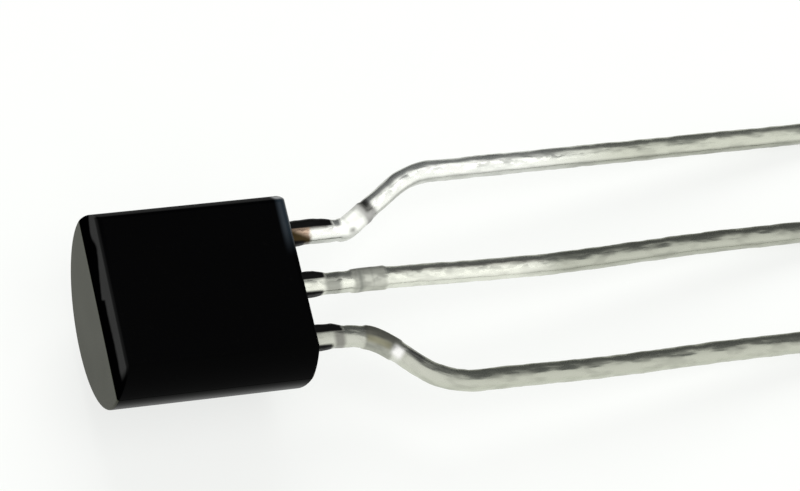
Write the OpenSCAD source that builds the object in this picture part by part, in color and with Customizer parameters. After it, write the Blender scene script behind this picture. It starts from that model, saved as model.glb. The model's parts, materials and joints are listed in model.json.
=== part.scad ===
// Three-lead voltage reference in a moulded half-round package.
// The package is drawn with X from its lead end along the leads, Y across it and Z = 0 at the middle
// of the lead frame, then laid down as it rests on a table: flat side up, on its round back and lead tips.

/* [Moulded body] */
// Width of the body across its round sides
body_width = 4.45; // [4:0.05:5.2]
// Length of the body from its top end to its lead end, at the parting line
body_length = 4.65; // [4.3:0.05:5.4]
// Depth from the flat face to the back
body_depth = 3.55; // [3.3:0.05:4.1]
// Distance from the flat face to the middle of the leads
flat_to_leads = 1.12; // [1:0.01:1.4]
// Mould draft of both end faces between the parting line and the flat
front_draft = 3; // [1:0.5:8]
// Mould draft of both end faces between the parting line and the back
rear_draft = 3; // [1:0.5:8]
// Radius of the edges between the flat and the end faces
flat_edge_radius = 0.14; // [0.05:0.01:0.3]

/* [Leads] */
// Length of the leads outside the body
lead_length = 14.2; // [12:0.1:20]
// Width of a lead
lead_width = 0.48; // [0.36:0.01:0.55]
// Thickness of the lead frame sheet
lead_thickness = 0.38; // [0.3:0.01:0.5]
// Spacing of the leads where they leave the body
lead_pitch = 1.27; // [1.15:0.01:1.39]
// Spacing of the leads after the outer two are spread
formed_pitch = 2.62; // [2.4:0.01:2.9]
// Distance from the body to the start of the spreading bends
form_start = 1.5; // [1.2:0.05:3]
// Angle of the slanted stretch between the two bends
form_angle = 38; // [30:1:60]
// Radius of the bends at the middle of the lead
form_radius = 0.7; // [0.35:0.05:0.9]
// Width of the thicker stretch where the tie bar was trimmed off
tie_bar_width = 0.53; // [0.45:0.01:0.7]
// Distance from the body to the start of the tie bar stretch
tie_bar_start = 1.25; // [0.8:0.05:1.6]
// Length of the tie bar stretch
tie_bar_length = 1.1; // [0.6:0.05:1.6]

/* [Lead frame inside the body] */
// Length of the middle lead's neck inside the body
neck_length = 1.35; // [1.1:0.05:1.6]
// Moulding compound between the paddle and the top end
top_wall = 1.1; // [0.8:0.05:1.3]
// Paddle left free round the die on each side
paddle_margin = 0.32; // [0.2:0.01:0.4]
// Gap between the paddle and each bond post
frame_gap = 0.2; // [0.15:0.01:0.3]
// Moulding compound between a bond post and the body's round side
side_wall = 0.45; // [0.35:0.01:0.55]
// Length of a bond post inside the body
post_length = 2.1; // [1.7:0.05:2.4]
// Length of the narrow lead inside the body before its bond post
post_neck = 0.8; // [0.5:0.05:1]
// Diameter of the anchor hole through each bond post
anchor_hole = 0.3; // [0.2:0.01:0.4]

/* [Die and bond wires] */
// Side of the square silicon die
die_size = 0.9; // [0.7:0.01:1.1]
// Height of the die
die_height = 0.25; // [0.2:0.01:0.35]
// Thickness of the silver-filled die attach layer
attach_thickness = 0.03; // [0.02:0.005:0.05]
// Width of the attach fillet that shows round the die
attach_margin = 0.06; // [0.03:0.01:0.1]
// Diameter of a bond wire
wire_diameter = 0.04; // [0.03:0.005:0.05]
// Rise of a bond wire above the straight line between its two bonds
wire_rise = 0.3; // [0.2:0.01:0.4]
// Diameter of the flattened bond at each wire end
bond_diameter = 0.1; // [0.08:0.01:0.14]
// Height of the flattened bond at each wire end
bond_height = 0.035; // [0.03:0.005:0.05]
// Distance from a bond pad's centre to the edge of the die
pad_inset = 0.12; // [0.08:0.01:0.2]

/* [Hidden] */
$fn = 96;
OVER = 1;    // how far a cutting shape runs past what it cuts
ROOT = 0.1;  // how far a narrow lead runs into its post or paddle
EDGE_STEPS = 10;
BEND_STEPS = 10;

// Body: a circle of the body's width, cut by the flat, with its lowest point at the back
body_radius = body_width / 2;
back_depth = body_depth - flat_to_leads;
round_centre = body_radius - back_depth;
front_setback = flat_to_leads * tan(front_draft);
rear_setback = back_depth * tan(rear_draft);

// Spread leads: the slanted stretch takes what the two bends leave of the sideways step. Places
// called _from are distances from the body along the lead's middle.
bend_length = form_radius * form_angle * PI / 180;
bend_rate = form_angle / bend_length;
slant_length = (formed_pitch - lead_pitch - 2 * form_radius * (1 - cos(form_angle)))
               / sin(form_angle);
slant_from = form_start + bend_length;
back_bend_from = slant_from + slant_length;
run_from = back_bend_from + bend_length;
form_end = form_start + 2 * form_radius * sin(form_angle) + slant_length * cos(form_angle);
formed_length = run_from + lead_length - form_end;

// Lead frame inside the body
paddle_width = die_size + 2 * paddle_margin;
paddle_length = body_length - neck_length - top_wall;
post_inner = paddle_width / 2 + frame_gap;
post_outer = body_radius - side_wall;
frame_top = lead_thickness / 2;

// Die stack on the paddle, and the wires' ends on the die and on the posts
die_x = -neck_length - paddle_length / 2;
die_floor = frame_top + attach_thickness;
die_top = die_floor + die_height;
pad_x = die_x + die_size / 2 - pad_inset;
pad_y = die_size / 2 - pad_inset;
anchor_x = anchor_hole - post_length;
stitch_x = (anchor_x + anchor_hole / 2 - post_neck) / 2;
stitch_y = (post_inner + post_outer) / 2;

// Lying pose: the back's rim at the lead end and the lead tips' lower edges touch the table
lie_angle = atan2(back_depth - lead_thickness / 2, lead_length + rear_setback);
table_z = rear_setback * sin(lie_angle) - back_depth * cos(lie_angle);
low_x = min((rear_setback - body_length) * cos(lie_angle) - back_depth * sin(lie_angle),
            -body_length * cos(lie_angle));
high_x = lead_length * cos(lie_angle) + lead_thickness / 2 * sin(lie_angle);

// Turns the drawn package into its resting pose, with the origin under the middle of its box
module lay_down() {
    translate([-(low_x + high_x) / 2, 0, -table_z])
        rotate([0, lie_angle, 0])
            children();
}

// Points along a round edge, from one direction of its radius to another
function round_edge(centre, radius, from, to) = [
    for (i = [0:EDGE_STEPS])
        let (angle = from + (to - from) * i / EDGE_STEPS)
            centre + radius * [cos(angle), sin(angle)]
];

// Side view of the body: two drafted halves that meet at the parting line, with a round edge
// at both ends of the flat
module side_outline() {
    edge_reach = flat_edge_radius * tan((90 - front_draft) / 2);
    edge_z = flat_to_leads - flat_edge_radius;
    polygon(concat(
        [[0, 0]],
        round_edge([-front_setback - edge_reach, edge_z], flat_edge_radius, front_draft, 90),
        round_edge([front_setback - body_length + edge_reach, edge_z], flat_edge_radius,
                   90, 180 - front_draft),
        [[-body_length, 0],
         [rear_setback - body_length, -back_depth],
         [-rear_setback, -back_depth]]
    ));
}

// Cross section of the body: the circle of its width, cut off by the flat
module end_outline() {
    intersection() {
        translate([0, round_centre])
            circle(body_radius);
        translate([-body_radius - OVER, -back_depth - OVER])
            square([2 * (body_radius + OVER), body_depth + OVER]);
    }
}

// Rectangle along X, centred on the X axis
module strip(from, to, width) {
    translate([from, -width / 2])
        square([to - from, width]);
}

// A spread lead's heading at a distance from the body, measured along its middle
function heading(at) =
    at < form_start ? 0
    : at < slant_from ? bend_rate * (at - form_start)
    : at < back_bend_from ? form_angle
    : at < run_from ? bend_rate * (run_from - at)
    : 0;

// How far a bend has moved the lead along and aside by the time that it has this heading
function bend_shift(angle) = form_radius * [sin(angle), 1 - cos(angle)];

// A spread lead's middle at a distance from the body, measured along it, seen from where it would
// have run straight on
function middle(at) =
    at < form_start ? [at, 0]
    : at < slant_from ? [form_start, 0] + bend_shift(heading(at))
    : at < back_bend_from ? [form_start, 0] + bend_shift(form_angle)
                            + (at - slant_from) * [cos(form_angle), sin(form_angle)]
    : at < run_from ? [form_end, formed_pitch - lead_pitch] - bend_shift(heading(at))
    : [form_end + at - run_from, formed_pitch - lead_pitch];

// One edge of a spread lead, so far to the left of its middle
function lead_edge(stations, offset) = [
    for (at = stations)
        middle(at) + offset * [-sin(heading(at)), cos(heading(at))]
];

function reversed(list) = [for (i = [len(list) - 1:-1:0]) list[i]];

// Stretch of a spread lead between two distances from the body. The lead runs straight, bends left,
// slants, and bends back to run straight again.
module spread_strip(from, to, width) {
    bend_stations = [for (start = [form_start, back_bend_from], i = [0:BEND_STEPS])
                     start + bend_length * i / BEND_STEPS];
    stations = concat([from], [for (at = bend_stations) if (at > from && at < to) at], [to]);
    polygon(concat(lead_edge(stations, -width / 2), reversed(lead_edge(stations, width / 2))));
}

// Bond post of an outer lead, with the hole that the compound anchors in
module bond_post() {
    difference() {
        translate([-post_length, post_inner])
            square([post_length - post_neck, post_outer - post_inner]);
        translate([anchor_x, stitch_y])
            circle(d = anchor_hole);
    }
}

// Flat pattern of the outer lead on the +Y side, spread for wider holes
module outer_lead_outline() {
    translate([0, lead_pitch]) {
        spread_strip(-post_neck - ROOT, formed_length, lead_width);
        spread_strip(tie_bar_start, tie_bar_start + tie_bar_length, tie_bar_width);
    }
    bond_post();
}

// Flat pattern of the middle lead with the die paddle at its inner end
module middle_lead_outline() {
    strip(-neck_length - ROOT, lead_length, lead_width);
    strip(tie_bar_start, tie_bar_start + tie_bar_length, tie_bar_width);
    strip(-neck_length - paddle_length, -neck_length, paddle_width);
}

// A flat pattern, given the thickness of the lead frame
module stamped() {
    translate([0, 0, -lead_thickness / 2])
        linear_extrude(lead_thickness)
            children();
}

module outer_lead_shape() {
    stamped()
        outer_lead_outline();
}

module middle_lead_shape() {
    stamped()
        middle_lead_outline();
}

// Square block on the paddle, centred under the die
module die_block(side, floor_z, height) {
    translate([die_x - side / 2, -side / 2, floor_z])
        cube([side, side, height]);
}

module die_shape() {
    die_block(die_size, die_floor, die_height);
}

module attach_shape() {
    die_block(die_size + 2 * attach_margin, frame_top, attach_thickness);
}

// Bond wire on the +Y side: a round loop from its bond on the die down to its bond on the post
module wire_shape() {
    span = norm([stitch_x - pad_x, stitch_y - pad_y]);
    drop = die_top - frame_top;
    chord = norm([span, drop]);
    loop_radius = (chord * chord / 4 + wire_rise * wire_rise) / (2 * wire_rise);
    half_turn = asin(chord / (2 * loop_radius));
    translate([pad_x, pad_y, die_top])
        cylinder(d = bond_diameter, h = bond_height);
    translate([stitch_x, stitch_y, frame_top])
        cylinder(d = bond_diameter, h = bond_height);
    translate([pad_x, pad_y, die_top + bond_height])
        rotate(atan2(stitch_y - pad_y, stitch_x - pad_x))
            rotate([0, atan2(drop, span), 0])
                translate([chord / 2, 0, wire_rise - loop_radius])
                    rotate([90, 0, 0])
                        rotate(90 - half_turn)
                            rotate_extrude(angle = 2 * half_turn)
                                translate([loop_radius, 0])
                                    circle(d = wire_diameter);
}

module on_the_other_side() {
    mirror([0, 1, 0])
        children();
}

// Everything that the compound is moulded round
module embedded_parts() {
    outer_lead_shape();
    on_the_other_side() outer_lead_shape();
    middle_lead_shape();
    attach_shape();
    die_shape();
    wire_shape();
    on_the_other_side() wire_shape();
}

module moulded_body() {
    color([0.05, 0.05, 0.06])
        lay_down()
            difference() {
                intersection() {
                    translate([-body_length - OVER, 0, 0])
                        rotate([90, 0, 90])
                            linear_extrude(body_length + 2 * OVER)
                                end_outline();
                    rotate([90, 0, 0])
                        linear_extrude(body_width + 2 * OVER, center = true)
                            side_outline();
                }
                embedded_parts();
            }
}

module reference_lead() {
    color([0.8, 0.8, 0.78])
        lay_down()
            on_the_other_side()
                outer_lead_shape();
}

module anode_lead() {
    color([0.8, 0.8, 0.78])
        lay_down()
            middle_lead_shape();
}

module cathode_lead() {
    color([0.8, 0.8, 0.78])
        lay_down()
            outer_lead_shape();
}

module silicon_die() {
    color([0.35, 0.37, 0.42])
        lay_down()
            die_shape();
}

module die_attach() {
    color([0.7, 0.7, 0.72])
        lay_down()
            attach_shape();
}

module reference_wire() {
    color([0.9, 0.72, 0.3])
        lay_down()
            on_the_other_side()
                wire_shape();
}

module cathode_wire() {
    color([0.9, 0.72, 0.3])
        lay_down()
            wire_shape();
}

moulded_body();
reference_lead();
anode_lead();
cathode_lead();
silicon_die();
die_attach();
reference_wire();
cathode_wire();
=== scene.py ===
# %% [markdown]
# # A voltage reference chip, dressed for the camera
#
# The part is a three-lead voltage reference: a black half-round body of moulded epoxy with three
# tinned leads, the outer two spread for wider holes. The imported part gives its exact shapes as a
# fixed frame. This lesson builds the pieces that show, the body and the leads, once more with the
# small things that a mould, a trimming tool and a tin bath leave behind, and gives every piece a
# finish made of nodes. All shapes are made in millimetres in the part's own drawing frame, and are
# laid down at the end exactly as the part lies.

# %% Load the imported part
import json
import math

import bmesh
import bpy
from mathutils import Matrix, Vector, noise

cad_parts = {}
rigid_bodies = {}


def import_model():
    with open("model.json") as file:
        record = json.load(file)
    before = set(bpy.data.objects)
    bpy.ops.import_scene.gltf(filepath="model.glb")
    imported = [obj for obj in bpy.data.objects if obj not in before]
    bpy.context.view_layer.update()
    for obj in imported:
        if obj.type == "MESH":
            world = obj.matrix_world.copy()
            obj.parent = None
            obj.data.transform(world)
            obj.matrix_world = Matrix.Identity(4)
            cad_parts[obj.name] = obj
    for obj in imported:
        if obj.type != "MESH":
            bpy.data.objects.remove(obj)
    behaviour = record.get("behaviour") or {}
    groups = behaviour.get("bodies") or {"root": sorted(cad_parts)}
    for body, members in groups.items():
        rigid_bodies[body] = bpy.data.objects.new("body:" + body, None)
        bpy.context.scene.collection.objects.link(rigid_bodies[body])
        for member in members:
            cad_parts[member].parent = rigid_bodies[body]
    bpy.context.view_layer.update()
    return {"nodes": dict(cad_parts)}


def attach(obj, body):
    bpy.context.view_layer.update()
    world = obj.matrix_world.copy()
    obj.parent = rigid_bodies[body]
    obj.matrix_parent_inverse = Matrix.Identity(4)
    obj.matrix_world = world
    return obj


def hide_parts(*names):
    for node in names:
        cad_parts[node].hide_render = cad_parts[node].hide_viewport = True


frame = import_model()
print("nodes:", ", ".join(sorted(frame["nodes"])))

# %% [markdown]
# ## The drawing frame
#
# The maker's drawing has X along the leads from the lead end of the body, Y across the leads, and
# Z = 0 at the middle of the lead frame, which is also where the two mould halves meet. On the table
# the part leans: its round back's rim and the lead tips touch. One matrix takes a finished drawing
# in millimetres to its place in metres, so that no piece needs fitting.

# %% Sizes from the drawing, in millimetres
MM = 0.001
BODY_WIDTH = 4.45
BODY_LENGTH = 4.65
BODY_DEPTH = 3.55
FLAT_HEIGHT = 1.12
BACK_DEPTH = BODY_DEPTH - FLAT_HEIGHT
DRAFT = math.radians(3)
FLAT_EDGE_RADIUS = 0.14
LEAD_LENGTH = 14.2
LEAD_WIDTH = 0.48
LEAD_THICKNESS = 0.38
print("body:", BODY_WIDTH, "x", BODY_LENGTH, "x", BODY_DEPTH, "mm")

# %% The matrix that lays the drawing down
rear_setback = BACK_DEPTH * math.tan(DRAFT)
lie_angle = math.atan2(BACK_DEPTH - LEAD_THICKNESS / 2, LEAD_LENGTH + rear_setback)
turn = Matrix.Rotation(lie_angle, 3, "Y")
touching = turn @ Vector((-rear_setback, 0, -BACK_DEPTH))
tip = turn @ Vector((LEAD_LENGTH, 0, LEAD_THICKNESS / 2))
back_end = min(
    (turn @ Vector((rear_setback - BODY_LENGTH, 0, -BACK_DEPTH))).x,
    (turn @ Vector((-BODY_LENGTH, 0, 0))).x,
)
offset = Vector((-(back_end + tip.x) / 2, 0, -touching.z))
laid_down = Matrix.Scale(MM, 4) @ Matrix.Translation(offset) @ turn.to_4x4()
print("lies at", round(math.degrees(lie_angle), 3), "degrees; moved by", offset)


# %% A finished drawing becomes a piece
def linked(name, data):
    """A new object in the scene, at the origin."""
    made = bpy.data.objects.new(name, data)
    bpy.context.scene.collection.objects.link(made)
    return made


def piece_from(drawing, name, sharp_angle):
    """Makes an object from a bmesh in drawing millimetres, and says how it rides."""
    bmesh.ops.recalc_face_normals(drawing, faces=drawing.faces)
    bmesh.ops.transform(drawing, matrix=laid_down, verts=drawing.verts)
    for face in drawing.faces:
        face.smooth = True
    mesh = bpy.data.meshes.new(name)
    drawing.to_mesh(mesh)
    drawing.free()
    mesh.set_sharp_from_angle(angle=math.radians(sharp_angle))
    piece = linked(name, mesh)
    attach(piece, "root")
    print(name, len(mesh.polygons), "faces")
    return piece


# %% [markdown]
# ## The moulded body
#
# The real body is cast in two mould halves that meet at the leads. Each half leans in a little
# towards its ends, so that it lets go of the steel. It could be carved from a block, but a mould
# maker's order is simpler: draw the half-round section, pull it out into a bar, and cut the bar with
# the four leaning end planes. The broad rounding between the flat and each end is cut as well, as a
# fan of narrow planes that touch the round, because a bevel that just reaches the next edge folds up
# on itself there. The other edges are bevelled. A thin bead runs round the body where compound crept
# between the halves.

# %% The half-round section, pulled into a bar
OVERCUT = 1.0
ROUND_SEGMENTS = 144
ON_PLANE = 1e-5


def sliced(drawing, point, outwards, clear=False):
    """Cuts every face that crosses a plane, and clears what lies beyond it if asked to."""
    return bmesh.ops.bisect_plane(
        drawing,
        geom=drawing.verts[:] + drawing.edges[:] + drawing.faces[:],
        dist=ON_PLANE,
        plane_co=point,
        plane_no=outwards,
        clear_outer=clear,
    )


def new_points(pulled):
    """The points that an extrusion made."""
    return [v for v in pulled["geom"] if isinstance(v, bmesh.types.BMVert)]


body_radius = BODY_WIDTH / 2
round_centre = body_radius - BACK_DEPTH
body = bmesh.new()
bmesh.ops.create_circle(body, cap_ends=True, radius=body_radius, segments=ROUND_SEGMENTS)
sliced(body, (0, FLAT_HEIGHT - round_centre, 0), (0, 1, 0), clear=True)
stand_up = Matrix(((0, 0, 1), (1, 0, 0), (0, 1, 0))).to_4x4()
bmesh.ops.transform(
    body,
    matrix=Matrix.Translation((OVERCUT, 0, round_centre)) @ stand_up,
    verts=body.verts,
)
pulled = bmesh.ops.extrude_face_region(body, geom=body.faces[:], use_keep_orig=True)
bmesh.ops.translate(body, vec=(-BODY_LENGTH - 2 * OVERCUT, 0, 0), verts=new_points(pulled))
print("bar:", len(body.faces), "faces")


# %% Leaning cuts at both ends, and the rounding next to the flat
ENDS = ((1, 0), (-1, -BODY_LENGTH))
ROUNDING_STEPS = 8


def leaning(way, half):
    """The outward direction of one mould half's end face."""
    return (way * math.cos(DRAFT), 0, half * math.sin(DRAFT))


def cut(drawing, point, outwards):
    """Cuts off what lies beyond a plane, and closes the hole."""
    done = sliced(drawing, point, outwards, clear=True)
    rim = [e for e in done["geom_cut"] if isinstance(e, bmesh.types.BMEdge)]
    bmesh.ops.contextual_create(drawing, geom=rim)


centre_height = FLAT_HEIGHT - FLAT_EDGE_RADIUS
inwards = (FLAT_EDGE_RADIUS + centre_height * math.sin(DRAFT)) / math.cos(DRAFT)
for way, at in ENDS:
    for half in (1, -1):
        cut(body, (at, 0, 0), leaning(way, half))
    centre = Vector((at - way * inwards, 0, centre_height))
    for step in range(1, ROUNDING_STEPS):
        turned = (math.pi / 2 - DRAFT) * step / ROUNDING_STEPS
        outwards = Vector((way * math.sin(turned), 0, math.cos(turned)))
        cut(body, centre + FLAT_EDGE_RADIUS * outwards, outwards)
print("cut:", len(body.faces), "faces")

# %% The line where the mould halves meet, and the small rounded edges
BEAD_HALF_WIDTH = 0.018
SAME_PLACE = 0.003
BODY_SHARP = 25
SIDE_EDGE_RADIUS = 0.05
SIDE_EDGE_STEPS = 4
for height in (-BEAD_HALF_WIDTH, 0, BEAD_HALF_WIDTH):
    sliced(body, (0, 0, height), (0, 0, 1))
bmesh.ops.remove_doubles(body, verts=body.verts, dist=SAME_PLACE)
body.normal_update()
corners = [e for e in body.edges if e.is_manifold]
corners = [e for e in corners if e.calc_face_angle() > math.radians(BODY_SHARP)]
bmesh.ops.bevel(
    body,
    geom=corners,
    offset=SIDE_EDGE_RADIUS,
    offset_type="OFFSET",
    segments=SIDE_EDGE_STEPS,
    profile=0.5,
    affect="EDGES",
    material=-1,
    clamp_overlap=False,
)
print("rounded:", len(body.faces), "faces")

# %% [markdown]
# Smooth shading blends the directions of the faces that meet at a point, so a broad flat face would
# seem to bulge beside a rounded edge. A narrow rim inside each broad face takes up that blend, and
# the face within stays flat, as polished steel leaves it.

# %% Narrow rims that keep the broad faces flat
RIM = 0.03
BROAD_AREA = 0.5
FACING_SIDEWAYS = 0.01
body.normal_update()
broad = [
    f for f in body.faces if abs(f.normal.y) < FACING_SIDEWAYS and f.calc_area() > BROAD_AREA
]
bmesh.ops.inset_individual(body, faces=broad, thickness=RIM, use_even_offset=True)
for way, at in ENDS:
    for half in (1, -1):
        sliced(body, (at - way * (SIDE_EDGE_RADIUS + RIM), 0, 0), leaning(way, half))
print("rimmed:", len(body.faces), "faces")

# %% The bead on the mould line, and the slight slant of the lead end
NEAR = 1e-4
BEAD_HEIGHT = 0.01
LEAD_END_SLANT = 0.018
SLANT_START = 0.5
LEAD_END_DEPTH = 3 * FLAT_EDGE_RADIUS
body.normal_update()
for vertex in body.verts:
    if abs(vertex.co.z) < NEAR:
        vertex.co += BEAD_HEIGHT * Vector((vertex.normal.x, vertex.normal.y, 0)).normalized()
for vertex in body.verts:
    if vertex.co.x > -LEAD_END_DEPTH:
        vertex.co.x += LEAD_END_SLANT * max(0, SLANT_START - vertex.co.y)
moulded_body = piece_from(body, "body_of_moulded_epoxy", BODY_SHARP)
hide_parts("moulded_body")

# %% [markdown]
# ## The leads
#
# A lead frame is stamped from sheet, trimmed, dipped in tin and only then bent. The lesson works in
# the same order. Each lead starts as one rounded section that is pulled along a straight line, and
# stretched sideways where the sheet is wider: at the post or paddle inside the body, and where the
# tie bar between the leads was cut away. Next to the body a ragged flash of compound widens it too.
# The straight drawing is kept as an attribute, so that the finish can follow the lead round its
# bends. Tin never sets quite flat, which a slight dome and small shifts of the points imitate. The
# bends come last, as one rule that moves every point, with the small twist and bow that handling
# gives each lead.

# %% What the stamping tool and the trimming tool leave
CORNER = 0.15
CORNER_STEPS = 6
FLAT_CUTS = 5
TRIM_START = 1.48
TRIM_LENGTH = 0.8
TRIM_WIDTH = 0.53
SHOULDER = 0.07


def section(half_width, half_thickness):
    """One rounded section across a lead, as a face that looks along -X."""
    drawing = bmesh.new()
    bmesh.ops.create_grid(drawing, x_segments=1, y_segments=1, size=1)
    stand = Matrix(((0, 0, -1), (1, 0, 0), (0, 1, 0))).to_4x4()
    bmesh.ops.transform(drawing, matrix=stand, verts=drawing.verts)
    bmesh.ops.scale(drawing, vec=(1, half_width, half_thickness), verts=drawing.verts)
    bmesh.ops.bevel(
        drawing,
        geom=drawing.verts[:],
        offset=CORNER,
        offset_type="OFFSET",
        segments=CORNER_STEPS,
        profile=0.5,
        affect="VERTICES",
        material=-1,
    )
    across = [e for e in drawing.edges if abs(e.verts[0].co.y - e.verts[1].co.y) > CORNER]
    bmesh.ops.subdivide_edges(drawing, edges=across, cuts=FLAT_CUTS)
    return drawing


def widen(ring, old, new):
    """Moves a ring's corners to new sides, and spreads what lies between them."""
    old_middle, new_middle = sum(old) / 2, sum(new) / 2
    old_flat, new_flat = (old[1] - old[0]) / 2 - CORNER, (new[1] - new[0]) / 2 - CORNER
    for vertex in ring:
        aside = vertex.co.y - old_middle
        if abs(aside) > old_flat:
            aside += math.copysign(1, aside) * (new_flat - old_flat)
        else:
            aside *= new_flat / old_flat
        vertex.co.y = new_middle + aside


def stamped_lead(stations):
    """Pulls a section along X through stations of (x, side at -Y, side at +Y)."""
    start, *sides = stations[0]
    drawing = section((sides[1] - sides[0]) / 2, LEAD_THICKNESS / 2)
    bmesh.ops.translate(drawing, vec=(start, sum(sides) / 2, 0), verts=drawing.verts)
    end_face = drawing.faces[:]
    for number, (x, *new_sides) in enumerate(stations[1:]):
        pulled = bmesh.ops.extrude_face_region(drawing, geom=end_face, use_keep_orig=True)
        if number > 0:
            # Only the first section stays, as the lead's inner end. The lead is one hollow skin.
            bmesh.ops.delete(drawing, geom=end_face, context="FACES")
        ring = new_points(pulled)
        end_face = [f for f in pulled["geom"] if isinstance(f, bmesh.types.BMFace)]
        bmesh.ops.translate(drawing, vec=(x - start, 0, 0), verts=ring)
        widen(ring, sides, new_sides)
        start, sides = x, new_sides
    bmesh.ops.recalc_face_normals(drawing, faces=drawing.faces)
    return drawing


# %% Stations along a lead
STATION_STEP = 0.1
NEAR_BODY_STEP = 0.05
HIDDEN_STEP = 0.5
FLASH_WIDTHS = (0.045, 0.09)
FLASH_ROOT = -0.1
FLASH_FADE = 0.3
FLASH_GRAIN = 0.3


def between(first, last, low, high, step=STATION_STEP):
    """Stations at even steps from first to last, both included."""
    count = max(1, round((last - first) / step))
    return [(first + (last - first) * i / count, low, high) for i in range(count + 1)]


def flash_at(x, end, width):
    """How far flash stands out from a lead's side: ragged, and thinner towards its end."""
    left = min(1, max(0, (end - x) / FLASH_FADE)) if x > FLASH_ROOT else 0
    ragged = noise.noise(Vector((x / FLASH_GRAIN, 100 * width, 0)))
    return width * left * (0.9 + 0.3 * ragged)


def flashed(station, flash_ends):
    """A station, widened by the flash at both its sides."""
    x, low, high = station
    low_flash, high_flash = (flash_at(x, *each) for each in zip(flash_ends, FLASH_WIDTHS))
    return x, low - low_flash, high + high_flash


def outside_stations(start, length, flash_ends):
    """A lead from inside the body to its tip, straight and centred on Y = 0."""
    narrow, wide = LEAD_WIDTH / 2, TRIM_WIDTH / 2
    trim_end = TRIM_START + TRIM_LENGTH
    near_body = between(start, TRIM_START - SHOULDER, -narrow, narrow, NEAR_BODY_STEP)
    return (
        [flashed(station, flash_ends) for station in near_body]
        + between(TRIM_START, trim_end, -wide, wide)
        + between(trim_end + SHOULDER, length, -narrow, narrow)
    )


# %% The rule of the bends
def bend_rule(start, angle, first_radius, back_radius, sidestep):
    """Gives a function from distance along a lead to its middle and its heading."""

    def shift(radius, turned):
        return radius * Vector((math.sin(turned), 1 - math.cos(turned)))

    slant_way = Vector((math.cos(angle), math.sin(angle)))
    bends = shift(first_radius, angle) + shift(back_radius, angle)
    slant = (sidestep - bends.y) / slant_way.y
    slanted = start + first_radius * angle
    back = slanted + slant
    run = back + back_radius * angle
    end = Vector((start + bends.x + slant * slant_way.x, sidestep))

    def rule(at):
        if at < start:
            return Vector((at, 0)), 0
        if at < slanted:
            turned = (at - start) / first_radius
            return Vector((start, 0)) + shift(first_radius, turned), turned
        if at < back:
            return end - shift(back_radius, angle) - (back - at) * slant_way, angle
        if at < run:
            turned = (run - at) / back_radius
            return end - shift(back_radius, turned), turned
        return end + Vector((at - run, 0)), 0

    return rule, run - end.x


# %% Tin skin
OUT_OF_BODY = 0.05
CROWN = 0.03
CROWN_LEVEL = 0.4
TIN_SWELL = 0.014
TIN_WAVES = (0.35, 0.2, 0.2)
TIN_RIPPLES = (0.14, 0.12, 0.12)
SEED_SHIFT = 17.0


def remember_straight(drawing):
    """Keeps every point's place in the straight lead, in millimetres."""
    straight = drawing.verts.layers.float_vector.new("straight")
    for vertex in drawing.verts:
        vertex[straight] = vertex.co


def crown(drawing):
    """Domes the two broad faces, as liquid tin does."""
    for vertex in drawing.verts:
        if vertex.co.x > OUT_OF_BODY:
            across = min(1, abs(vertex.co.y) / (LEAD_WIDTH / 2))
            vertex.co.z += math.copysign(CROWN * (CROWN_LEVEL - across * across), vertex.co.z)


def rippled(place, lengths):
    """Noise from -1 to 1 with waves of these lengths along X, Y and Z."""
    return noise.noise(Vector([value / length for value, length in zip(place, lengths)]))


def tin_skin(drawing, seed):
    """Shifts each point outside the body a little along its normal, as tin sets."""
    drawing.normal_update()
    for vertex in drawing.verts:
        place = vertex.co + Vector((seed * SEED_SHIFT, 0, 0))
        swell = rippled(place, TIN_WAVES) + 0.5 * rippled(place, TIN_RIPPLES)
        amount = TIN_SWELL * swell if vertex.co.x > OUT_OF_BODY else 0
        vertex.co += amount * vertex.normal


# %% Forming
TWIST_RUN = 2


def twisted(drawing, degrees):
    """Turns a lead a little about itself, once it has left the body."""
    for vertex in drawing.verts:
        part = min(1, max(0, vertex.co.x / TWIST_RUN))
        turn_here = Matrix.Rotation(math.radians(degrees) * part, 3, "X")
        vertex.co = turn_here @ vertex.co


def bowed(drawing, depth, start, end):
    """Bows a lead sideways between two places, as handling does."""
    for vertex in drawing.verts:
        part = (vertex.co.x - start) / (end - start)
        if 0 < part < 1:
            vertex.co.y += depth * math.sin(math.pi * part) ** 2


def formed(drawing, rule, side, pitch):
    """Bends the straight lead by its rule, to one side, and moves it to its place."""
    for vertex in drawing.verts:
        middle, turned = rule(vertex.co.x)
        across = side * vertex.co.y
        x = middle.x - across * math.sin(turned)
        y = middle.y + across * math.cos(turned) + pitch
        vertex.co = Vector((x, side * y, vertex.co.z))


# %% Middle lead, with the paddle that carries the die
LEAD_SHARP = 40
NECK_LENGTH = 1.35
TOP_WALL = 1.1
PADDLE_WIDTH = 1.54
MIDDLE_FLASH = (0.78, 0.86)
MIDDLE_SHIFT = 0.03
MIDDLE_TWIST = -2
MIDDLE_BOW = (-0.11, 1.5, 11)
half_paddle = PADDLE_WIDTH / 2
paddle = between(TOP_WALL - BODY_LENGTH, -NECK_LENGTH, -half_paddle, half_paddle, HIDDEN_STEP)
outside = outside_stations(-NECK_LENGTH + NEAR, LEAD_LENGTH, MIDDLE_FLASH)
middle_drawing = stamped_lead(paddle + outside)
remember_straight(middle_drawing)
crown(middle_drawing)
tin_skin(middle_drawing, 1)
twisted(middle_drawing, MIDDLE_TWIST)
bmesh.ops.translate(middle_drawing, vec=(0, MIDDLE_SHIFT, 0), verts=middle_drawing.verts)
bowed(middle_drawing, *MIDDLE_BOW)
anode_piece = piece_from(middle_drawing, "middle_lead_with_paddle", LEAD_SHARP)
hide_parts("anode_lead")

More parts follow.
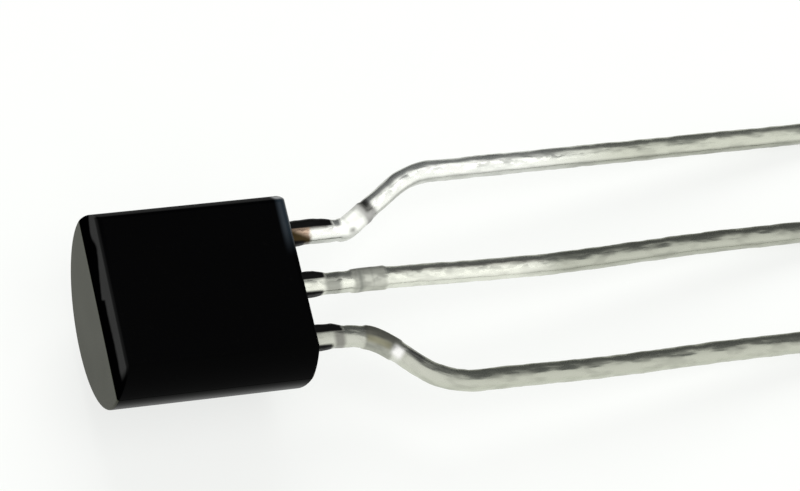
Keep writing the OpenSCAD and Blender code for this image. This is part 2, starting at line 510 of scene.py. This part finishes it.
# %% Outer leads, with their bond posts
POST_LENGTH = 2.1
POST_NECK = 0.8
POST_INNER = 0.97
POST_OUTER = 1.775
OUTER_LEADS = {
    "reference_lead": dict(
        name="lower_outer_lead",
        side=-1,
        pitch=1.29,
        start=1.09,
        angle=42.8,
        radii=(1.51, 2.03),
        reach=2.73,
        twist=-5,
        bows=[(-0.04, 0.2, 4.4), (-0.04, 4.8, 10.5)],
        flash=(0.72, 1.0),
    ),
    "cathode_lead": dict(
        name="upper_outer_lead",
        side=1,
        pitch=1.3,
        start=1.48,
        angle=33.4,
        radii=(0.42, 1.89),
        reach=2.54,
        twist=3,
        bows=[],
        flash=(0.6, 1.34),
    ),
}
outer_pieces = {}
for node, form in OUTER_LEADS.items():
    sidestep = form["reach"] - form["pitch"]
    rule, spare = bend_rule(form["start"], math.radians(form["angle"]), *form["radii"], sidestep)
    low, high = POST_INNER - form["pitch"], POST_OUTER - form["pitch"]
    if form["side"] < 0:
        low, high = -high, -low
    post = between(-POST_LENGTH, -POST_NECK, low, high, HIDDEN_STEP)
    outside = outside_stations(-POST_NECK + NEAR, LEAD_LENGTH + spare, form["flash"])
    drawing = stamped_lead(post + outside)
    remember_straight(drawing)
    crown(drawing)
    tin_skin(drawing, 3 + form["side"])
    twisted(drawing, form["twist"])
    for bow in form["bows"]:
        bowed(drawing, *bow)
    formed(drawing, rule, form["side"], form["pitch"])
    piece = piece_from(drawing, form["name"], LEAD_SHARP)
    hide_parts(node)
    outer_pieces[node] = piece

# %% [markdown]
# ## A small language for finishes
#
# A finish is arithmetic on patterns, so it reads best as arithmetic. One class wraps a node's output
# and turns Python's operators into Math nodes. Every other node comes from its one method, which
# takes the node's type, its settings and the values or links of its sockets.


# %% Signals
class Signal:
    """An output of a node. Arithmetic on it adds Math nodes to the same tree."""

    def __init__(self, tree, socket=None):
        self.tree, self.socket = tree, socket

    def node(self, kind, settings=None, inputs=None, output=0):
        made = self.tree.nodes.new(kind)
        for name, value in (settings or {}).items():
            setattr(made, name, value)
        for name, value in (inputs or {}).items():
            if isinstance(value, Signal):
                self.tree.links.new(value.socket, made.inputs[name])
            else:
                made.inputs[name].default_value = value
        return Signal(self.tree, made.outputs[output] if made.outputs else None)

    def math(self, operation, first, second):
        return self.node("ShaderNodeMath", {"operation": operation}, {0: first, 1: second})

    def __add__(self, other):
        return self.math("ADD", self, other)

    __radd__ = __add__

    def __sub__(self, other):
        return self.math("SUBTRACT", self, other)

    def __rsub__(self, other):
        return self.math("SUBTRACT", other, self)

    def __mul__(self, other):
        return self.math("MULTIPLY", self, other)

    __rmul__ = __mul__

    def __abs__(self):
        return self.math("ABSOLUTE", self, 0)


# %% Patterns that every finish uses
def ramp(signal, start, end):
    """0 below start, 1 above end, and a smooth rise between them."""
    return signal.node(
        "ShaderNodeMapRange",
        {"interpolation_type": "SMOOTHSTEP"},
        {"Value": signal, "From Min": start, "From Max": end},
    )


def band(signal, start, end, soft):
    """1 between start and end, with soft sides."""
    return ramp(signal, start - soft, start + soft) * (
        1 - ramp(signal, end - soft, end + soft)
    )


def grain(place, scale, detail=3.0, roughness=0.5):
    """Noise from 0 to 1 at so many grains to a unit of the place."""
    return place.node(
        "ShaderNodeTexNoise",
        {},
        {"Vector": place, "Scale": scale, "Detail": detail, "Roughness": roughness},
    )


def blend(factor, first, second):
    """A colour between two colours."""
    return factor.node(
        "ShaderNodeMix",
        {"data_type": "RGBA"},
        {0: factor, 6: first, 7: second},
        output=2,
    )


def stretched(place, scale):
    """A place whose three numbers are multiplied, which stretches a pattern on it."""
    return place.node("ShaderNodeMapping", {}, {"Vector": place, "Scale": scale})


def coordinates(place):
    """The three numbers of a place."""
    return [place.node("ShaderNodeSeparateXYZ", {}, {"Vector": place}, output=i) for i in range(3)]


# %% Where a pattern sits, and what every material starts and ends with
def drawing_place(start):
    """Object coordinates, turned back into the drawing frame, in millimetres."""
    shift = -(Matrix.Rotation(-lie_angle, 3, "Y") @ offset)
    own = start.node("ShaderNodeTexCoord", output="Object")
    return own.node(
        "ShaderNodeMapping",
        {},
        {"Vector": own, "Location": shift, "Rotation": (0, -lie_angle, 0), "Scale": (1 / MM,) * 3},
    )


def finish(name):
    """A new empty material, and a signal to start its nodes from."""
    material = bpy.data.materials.new(name)
    material.use_nodes = True
    material.node_tree.nodes.clear()
    return material, Signal(material.node_tree)


def shade(start, **sockets):
    """Principled shader to the material's output. Underscores stand for spaces."""
    named = {name.replace("_", " "): value for name, value in sockets.items()}
    shader = start.node("ShaderNodeBsdfPrincipled", {}, named)
    start.node("ShaderNodeOutputMaterial", {}, {"Surface": shader})
    print("finish of", len(start.tree.nodes), "nodes")


def relief(height, strength, depth):
    """A bump whose full height is so many metres."""
    return height.node(
        "ShaderNodeBump", {}, {"Height": height, "Strength": strength, "Distance": depth}
    )


# %% [markdown]
# ## Moulding compound
#
# The compound is epoxy full of fine silica, near black. The end faces of the rear mould half are
# satin and painted a paler olive, a painted reflection of the white table, and its round back has a
# soft gloss. The front half's end faces came from polished steel, and mirror the table only in a
# strip beside the flat, whose edge wanders a little. A strip along one corner of the lead end has a
# painted highlight: a lighter, bluish colour, and more coat. A thin coat over the base gives the
# gloss: its weight follows the mould. Fine grain, faint flow marks and a little dust keep it from
# looking like painted glass.

# %% Colours of the compound
BLACK_LOW = (0.0002, 0.0002, 0.0003, 1)
BLACK_HIGH = (0.0007, 0.0007, 0.0008, 1)
DUST = (0.05, 0.048, 0.042, 1)
# The two olive colours below paint the rear end faces paler: a painted reflection of the white table.
PAINTED_REFLECTION_END_LOW = (0.036, 0.038, 0.024, 1)
PAINTED_REFLECTION_END_HIGH = (0.05, 0.052, 0.032, 1)
# A painted highlight: a lighter, bluish colour for a strip along one lead-end corner.
PAINTED_EDGE_HIGHLIGHT = (0.01, 0.016, 0.022, 1)
compound, start = finish("moulding_compound")
place = drawing_place(start)
x, y, z = coordinates(place)
speck = grain(place, 22, 4)
flow = grain(stretched(place, (0.35, 1, 1)), 1.1, 3)

# %% The end faces, the polished strip, the round back, a painted highlight at the lead end, and dust
from_end = x + BODY_LENGTH - math.tan(DRAFT) * abs(z)
on_end = 1 - ramp(from_end, 0.02, 0.05)
rear = on_end * (1 - ramp(z, -0.03, 0.02))
wander = 0.12 * grain(place, 2.6, 3) - 0.06
ridge = ramp(y, -0.02, 0.1) * (0.36 * y - 0.22 - 0.4 * ramp(y, 1.1, 1.7)) + 0.58 + wander
brow = on_end * ramp(z - ridge, -0.08, 0.08) * ramp(y, -2.0, -1.75)
back = (1 - on_end) * (1 - ramp(z, -0.6, 0.1))
# A strip along one lead-end corner: a painted highlight in its colour, and more coat.
edge_highlight = ramp(x, -0.36, -0.22) * ramp(y, 0.35, 1.25) * ramp(z, 0.7, 0.9)
dusty = ramp(grain(place, 5, 5, 0.65), 0.6, 0.8)

# %% The finish of the body
colour = blend(speck, BLACK_LOW, BLACK_HIGH)
colour = blend(dusty * 0.02, colour, DUST)
# The rear end faces get the paler olive colour, a painted reflection of the white table.
colour = blend(rear, colour, blend(0.5 * flow + 0.5 * speck, PAINTED_REFLECTION_END_LOW, PAINTED_REFLECTION_END_HIGH))
# The painted highlight on the lead-end corner strip.
colour = blend(edge_highlight, colour, PAINTED_EDGE_HIGHLIGHT)
gloss = 0.38 * rear + 0.27 * brow + 0.9 * edge_highlight + 0.07 * (1 - on_end) + 0.4 * back
shade(
    start,
    Base_Color=colour,
    Roughness=0.38 + 0.14 * flow + 0.06 * speck,
    Specular_IOR_Level=0,
    Coat_Weight=gloss * (0.82 + 0.18 * flow),
    Coat_Roughness=0.2,
    Coat_IOR=1.36,
    Normal=relief(speck + 0.6 * flow, 0.5, 0.000006),
)
moulded_body.data.materials.append(compound)

# %% [markdown]
# ## Tin
#
# Dipped tin is bright but never even. Its colour is almost neutral, its gloss changes from place to
# place, and it carries fine lines from drawing and handling. Each lead's colour is painted lighter or
# darker along its length, for how that lead catches the light. The sheared sides of a lead are darker
# than its faces, and painted shade darkens it across its +Y side and along its -Y edge. Here and there
# a spot of thick tin scatters light like paint, and a few marks are painted shadow or painted
# highlight.
# Close to the body a thin film of black compound stays on the sides of the leads, and where the bath
# didn't reach, copper shows, with a painted highlight towards its +Y side. The trimmed stretch is
# duller, painted darker on the middle and lower leads, with cut marks across it. Patterns read the
# straight lead, so that they turn the bends with it.

# %% Where film, trimming, marks and painted shade lie on a lead
FILM_REACH = (0.03, 0.17)
FILM_BLACK = (0.002, 0.002, 0.002, 1)
MARK_SOFT = 0.07
HALF_LEAD = LEAD_WIDTH / 2


def film_of(along, across, ragged, flash_ends):
    """1 where black compound covers a side of the lead near the body."""
    film = 0
    for way, end, reach in zip((-1, 1), flash_ends, FILM_REACH):
        edge = HALF_LEAD - reach
        at_side = ramp(way * across, edge - 0.03, edge + 0.03)
        film = film + at_side * (1 - ramp(along + ragged, end - 0.12, end))
    return film


def sheared_and_shade_of(across, trimmed, low_edge_and_shade, high_side_shade):
    """How dark the sheared sides of the lead are, with painted shade across its +Y side and along its
    -Y edge.
    """
    low_edge = (1 - trimmed) * ramp(-1 * across, HALF_LEAD - 0.08, HALF_LEAD - 0.02)
    high_start, high_depth = high_side_shade
    high_edge = ramp(across, HALF_LEAD - 0.09, HALF_LEAD - 0.03)
    # Painted shade: a line along the -Y edge and a broad band towards the +Y side. The sheared +Y edge
    # adds its own darkening.
    sheared_and_shade = low_edge_and_shade * low_edge + high_depth * ramp(across, high_start, HALF_LEAD - 0.04)
    return sheared_and_shade + 0.28 * high_edge * (1 - sheared_and_shade)


def marked(colour, along, across, marks_and_painted_light):
    """Adds marks of (first, last, low, high, colour) to a lead. Some are painted shadow or painted
    highlight.
    """
    for first, last, low, high, mark in marks_and_painted_light:
        spot = band(along, first, last, MARK_SOFT) * band(across, low, high, 0.06)
        colour = blend(spot, colour, (*mark, 1))
    return colour


def coppery(colour, along, across, ragged, end):
    """Bare copper from the body to a ragged end, with a painted highlight towards its +Y side and dark
    brown towards its -Y side.
    """
    bare = 1 - ramp(along + ragged, end - 0.06, end + 0.06)
    # Painted highlight: lighter copper towards the +Y side and further along, dark brown elsewhere.
    copper_highlight = ramp(across + 0.5 * along, 0.1, 0.3)
    return blend(bare, colour, blend(copper_highlight, (0.05, 0.035, 0.015, 1), (0.56, 0.41, 0.3, 1)))


# %% The finish of a lead
def tin(
    name,
    seed,
    painted_light_near,
    painted_light_far,
    warmth,
    fading,
    flash_ends,
    trim_shade,
    frost,
    low_edge_and_shade,
    high_side_shade,
    dulling,
    bright_spots,
    marks_and_painted_light,
    copper=0,
):
    """Tin whose colour is painted from one brightness near the body to another far along it: painted
    light, for how each lead catches the light.
    """
    material, start = finish(name)
    place = start.node("ShaderNodeAttribute", {"attribute_name": "straight"}, output="Vector")
    along, across = coordinates(place)[:2]
    shifted = place.node("ShaderNodeVectorMath", {"operation": "ADD"}, {0: place, 1: (seed, 0, 0)})
    mottle = grain(stretched(shifted, (0.8, 2.2, 2.2)), 2.2, 2)
    dull = ramp(mottle, 0.45, 0.68)
    fine = grain(stretched(shifted, (0.3, 4, 4)), 3, 1)
    ragged = 0.16 * grain(shifted, 6, 3) - 0.08
    trimmed = band(along, TRIM_START, TRIM_START + TRIM_LENGTH, MARK_SOFT)
    cuts = trimmed * ramp(grain(stretched(shifted, (3, 0.3, 0.3)), 1.7, 1), 0.5, 0.66)
    sheared_and_shade = sheared_and_shade_of(across, trimmed, low_edge_and_shade, high_side_shade)
    film = film_of(along, across, ragged, flash_ends)
    faded = ramp(along, *fading)
    spots = ramp(grain(stretched(shifted, (0.7, 1.6, 1.6)), 6, 2), 0.46, 0.54)
    spots = spots * band(across, -0.14, 0.03, 0.05) * (1 - faded)
    # Painted light: each lead's colour near the body and far from it is set for how that lead catches
    # the light.
    colour = blend(
        faded, (painted_light_near, painted_light_near * 1.02, painted_light_near * warmth, 1), (painted_light_far, painted_light_far * 1.03, painted_light_far * 0.87, 1)
    )
    tone_and_shade = (1 - dulling * dull) * (1 - sheared_and_shade) * (1 - trim_shade * trimmed) * (1 - 0.12 * cuts)
    colour = marked(blend(tone_and_shade, (0, 0, 0, 1), colour), along, across, marks_and_painted_light)
    if copper:
        colour = coppery(colour, along, across, ragged, copper)
    shade(
        start,
        Base_Color=blend(film, colour, FILM_BLACK),
        Metallic=(1 - film) * (1 - frost * trimmed) * (1 - bright_spots * spots),
        Specular_IOR_Level=0.1,
        Roughness=0.2 + 0.14 * dull + 0.08 * fine + 0.25 * trimmed + 0.2 * film,
        Normal=relief(0.3 * fine + mottle + 0.4 * cuts, 0.7, 0.000014),
    )
    return material


# %% Each lead's painted brightness, painted shade and marks
FULL = (-0.5, 0.5)
anode_tin = tin(
    "tin_on_middle_lead",
    seed=3.7,
    painted_light_near=0.92,
    painted_light_far=0.54,
    warmth=0.9,
    fading=(5.7, 6.8),
    flash_ends=MIDDLE_FLASH,
    trim_shade=0.35,
    frost=0.2,
    low_edge_and_shade=0.18,
    high_side_shade=(-0.22, 0.36),
    dulling=0.15,
    bright_spots=0.6,
    marks_and_painted_light=[
        (0.78, 1.16, *FULL, (0.4, 0.41, 0.36)),
        (1.62, 1.68, *FULL, (0.25, 0.26, 0.23)),
        (2.4, 6.2, 0.02, 0.13, (0.42, 0.42, 0.37)),
    ],
)
anode_piece.data.materials.append(anode_tin)
reference_tin = tin(
    "tin_on_lower_lead",
    seed=11.3,
    painted_light_near=0.6,
    painted_light_far=0.54,
    warmth=0.89,
    fading=(2, 5),
    flash_ends=OUTER_LEADS["reference_lead"]["flash"],
    trim_shade=0.3,
    frost=0,
    low_edge_and_shade=0,
    high_side_shade=(-0.2, 0.3),
    dulling=0.15,
    bright_spots=0,
    marks_and_painted_light=[
        (0.7, 0.95, *FULL, (0.27, 0.27, 0.24)),
        # Painted shade over the +Y half of the trimmed stretch.
        (1.45, 2.2, -0.02, 0.5, (0.2, 0.2, 0.17)),
        (1.5, 2.15, -0.18, -0.02, (0.36, 0.35, 0.25)),
        (2.55, 2.95, 0.0, 0.5, (0.26, 0.26, 0.24)),
        # A painted highlight: a white spot on the -Y half.
        (2.22, 2.48, -0.22, 0.04, (1, 1, 0.97)),
    ],
)
outer_pieces["reference_lead"].data.materials.append(reference_tin)
cathode_tin = tin(
    "tin_on_upper_lead",
    seed=23.9,
    painted_light_near=1.0,
    painted_light_far=0.64,
    warmth=0.95,
    fading=(6, 9.6),
    flash_ends=OUTER_LEADS["cathode_lead"]["flash"],
    trim_shade=0,
    frost=0.8,
    low_edge_and_shade=0.4,
    high_side_shade=(0.06, 0.24),
    dulling=0.14,
    bright_spots=0.9,
    marks_and_painted_light=[
        # Painted shadow of the step at the end of the trimmed stretch, across the lead.
        (2.1, 2.48, *FULL, (0.42, 0.42, 0.4)),
        (0.5, 1.15, 0.03, 0.12, (0.3, 0.29, 0.26)),
        # Painted shadow of the step at the end of the trimmed stretch, darker over the +Y half.
        (2.22, 2.44, -0.08, 0.5, (0.13, 0.13, 0.12)),
        (1.62, 1.74, -0.2, -0.1, (0.3, 0.3, 0.28)),
    ],
    copper=0.7,
)
outer_pieces["cathode_lead"].data.materials.append(cathode_tin)

# %% [markdown]
# ## Inside the body
#
# The die, the silver layer under it and the two bond wires are sealed in, and show only when the
# body is hidden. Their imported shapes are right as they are, so they keep them and only get finishes:
# polished silicon with the fine grid of its circuit, silver paste with flakes, and drawn gold.

# %% The die
DIE_TOP = LEAD_THICKNESS / 2 + 0.28


def dress(node, material):
    """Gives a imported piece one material, and no other."""
    materials = frame["nodes"][node].data.materials
    materials.clear()
    materials.append(material)


silicon, start = finish("polished_silicon")
place = drawing_place(start)
x, y, z = coordinates(place)
cells = place.node(
    "ShaderNodeTexVoronoi",
    {"distance": "CHEBYCHEV", "feature": "F1"},
    {"Vector": stretched(place, (1, 1, 0)), "Scale": 14.0, "Randomness": 0.35},
)
circuit = ramp(cells, 0.25, 0.45) * ramp(z, DIE_TOP - 0.01, DIE_TOP - 0.005)
shade(
    start,
    Base_Color=blend(circuit, (0.12, 0.13, 0.17, 1), (0.42, 0.36, 0.5, 1)),
    Metallic=0.35 + 0.4 * circuit,
    Roughness=0.12 + 0.15 * grain(place, 12, 3),
    Normal=relief(circuit, 0.4, 0.000002),
)
dress("silicon_die", silicon)

# %% The silver paste and the bond wires
paste, start = finish("silver_paste")
place = drawing_place(start)
flakes = grain(place, 60, 4, 0.7)
shade(
    start,
    Base_Color=blend(ramp(flakes, 0.4, 0.6), (0.38, 0.38, 0.38, 1), (0.74, 0.74, 0.75, 1)),
    Metallic=0.5 + 0.4 * flakes,
    Roughness=0.65 - 0.25 * flakes,
    Normal=relief(flakes, 0.7, 0.000004),
)
dress("die_attach", paste)

gold, start = finish("drawn_gold")
place = drawing_place(start)
drawn = grain(place, 45, 3)
shade(
    start,
    Base_Color=blend(drawn, (0.93, 0.66, 0.27, 1), (1.0, 0.78, 0.4, 1)),
    Metallic=1.0,
    Roughness=0.14 + 0.14 * drawn,
    Normal=relief(drawn, 0.3, 0.000001),
)
for node in ("reference_wire", "cathode_wire"):
    dress(node, gold)

# %% [markdown]
# ## The studio
#
# The part lies on a white table in soft light. A table that is white by its own glow, but only for
# the camera and for mirrors, stays white without more light on the part, and still shows its shadow.
# Tin is a mirror, so the studio has to have something dark in it as well: a grey card stands behind
# the part. Only mirrors see it.

# %% Table
TABLE_SIZE = 0.6
TABLE_GLOW = 0.76


def seen_directly(start):
    """1 for rays from the camera, from a mirror or through glass."""
    camera_ray, mirror_ray, glass_ray = (
        start.node("ShaderNodeLightPath", output=name)
        for name in ("Is Camera Ray", "Is Glossy Ray", "Is Transmission Ray")
    )
    direct = start.math("MAXIMUM", camera_ray, mirror_ray)
    return start.math("MAXIMUM", direct, glass_ray)


def staged(drawing, name, material):
    """A part of the studio, which isn't part of the object."""
    mesh = bpy.data.meshes.new(name)
    drawing.to_mesh(mesh)
    drawing.free()
    mesh.materials.append(material)
    made = linked(name, mesh)
    return made


paper, start = finish("white_table")
glow = start.node("ShaderNodeEmission", {}, {"Color": (0.99, 1.0, 0.985, 1), "Strength": 1.0})
fibre = grain(start.node("ShaderNodeTexCoord", output="Object"), 900, 4)
dull = start.node(
    "ShaderNodeBsdfDiffuse",
    {},
    {"Color": blend(fibre, (0.8, 0.82, 0.79, 1), (0.83, 0.85, 0.82, 1))},
)
both = start.node(
    "ShaderNodeMixShader", {}, {0: seen_directly(start) * TABLE_GLOW, 1: dull, 2: glow}
)
start.node("ShaderNodeOutputMaterial", {}, {"Surface": both})
table_drawing = bmesh.new()
bmesh.ops.create_grid(table_drawing, x_segments=4, y_segments=4, size=TABLE_SIZE / 2)
staged(table_drawing, "table", paper)
print("table:", TABLE_SIZE, "m wide")

# %% World and lights
AMBIENT = 0.55
world = bpy.data.worlds.new("studio")
world.use_nodes = True
world.node_tree.nodes.clear()
bpy.context.scene.world = world
start = Signal(world.node_tree)
background = start.node(
    "ShaderNodeBackground",
    {},
    {"Color": (1, 1, 1, 1), "Strength": AMBIENT + (1 - AMBIENT) * seen_directly(start)},
)
start.node("ShaderNodeOutputWorld", {}, {"Surface": background})


def softbox(name, place, size, power):
    """A round lamp that looks at the part and that mirrors don't see."""
    lamp = bpy.data.lights.new(name, "AREA")
    lamp.shape = "DISK"
    lamp.size, lamp.energy = size, power
    box = linked(name, lamp)
    box.location = place
    box.rotation_mode = "QUATERNION"
    box.rotation_quaternion = (Vector((0, 0, 0.002)) - Vector(place)).to_track_quat("-Z", "Y")
    box.visible_glossy = False
    print(name, "at", place, "with", power, "W")


softbox("window", (0.05, 0.24, 0.19), 0.22, 0.8)
softbox("ceiling", (0.08, -0.04, 0.32), 0.2, 0.3)

# %% The grey card behind the part, darker towards its foot
CARD_PLACE = (0.13, 0.06, 0.15)
CARD_HALF_SIDES = (0.21, 0.15, 1)
grey, start = finish("grey_card")
height = coordinates(start.node("ShaderNodeTexCoord", output="Object"))[2]
card_shade = blend(ramp(height, 0.09, 0.165), (0.16, 0.165, 0.17, 1), (1, 1, 1, 1))
glow = start.node("ShaderNodeEmission", {}, {"Color": card_shade, "Strength": 1.0})
start.node("ShaderNodeOutputMaterial", {}, {"Surface": glow})
card_drawing = bmesh.new()
bmesh.ops.create_grid(card_drawing, x_segments=2, y_segments=2, size=1)
upright = Matrix.Rotation(math.pi / 2, 3, "X")
bmesh.ops.scale(card_drawing, vec=CARD_HALF_SIDES, verts=card_drawing.verts)
bmesh.ops.rotate(card_drawing, cent=(0, 0, 0), matrix=upright, verts=card_drawing.verts)
bmesh.ops.translate(card_drawing, vec=CARD_PLACE, verts=card_drawing.verts)
card = staged(card_drawing, "grey_card", grey)
card.visible_camera = card.visible_diffuse = card.visible_shadow = False
card.visible_transmission = card.visible_volume_scatter = False
print("card at", CARD_PLACE)

# %% [markdown]
# ## The camera
#
# A long lens looks down on the part from its top end and a little from the side, so that the flat,
# the drafted top end and all three leads show. Three directions fix the camera exactly.

# %% Camera
CAMERA_PLACE = Vector((-23.6663, -32.8976, 97.7063))
RIGHT = Vector((0.96501, -0.21957, 0.14335))
DOWN = Vector((-0.15601, -0.92015, -0.35914))
AHEAD = Vector((0.21076, 0.3242, -0.92221))
camera_data = bpy.data.cameras.new("camera")
camera_data.sensor_width = 36
camera_data.lens = 201.188
camera_data.clip_start, camera_data.clip_end = 0.005, 10
camera = linked("camera", camera_data)
camera.matrix_world = Matrix.Translation(CAMERA_PLACE * MM) @ (
    Matrix((RIGHT, -DOWN, -AHEAD)).transposed().to_4x4()
)
bpy.context.scene.camera = camera
bpy.context.scene.view_settings.view_transform = "Standard"
print("camera", round(CAMERA_PLACE.length), "mm away")
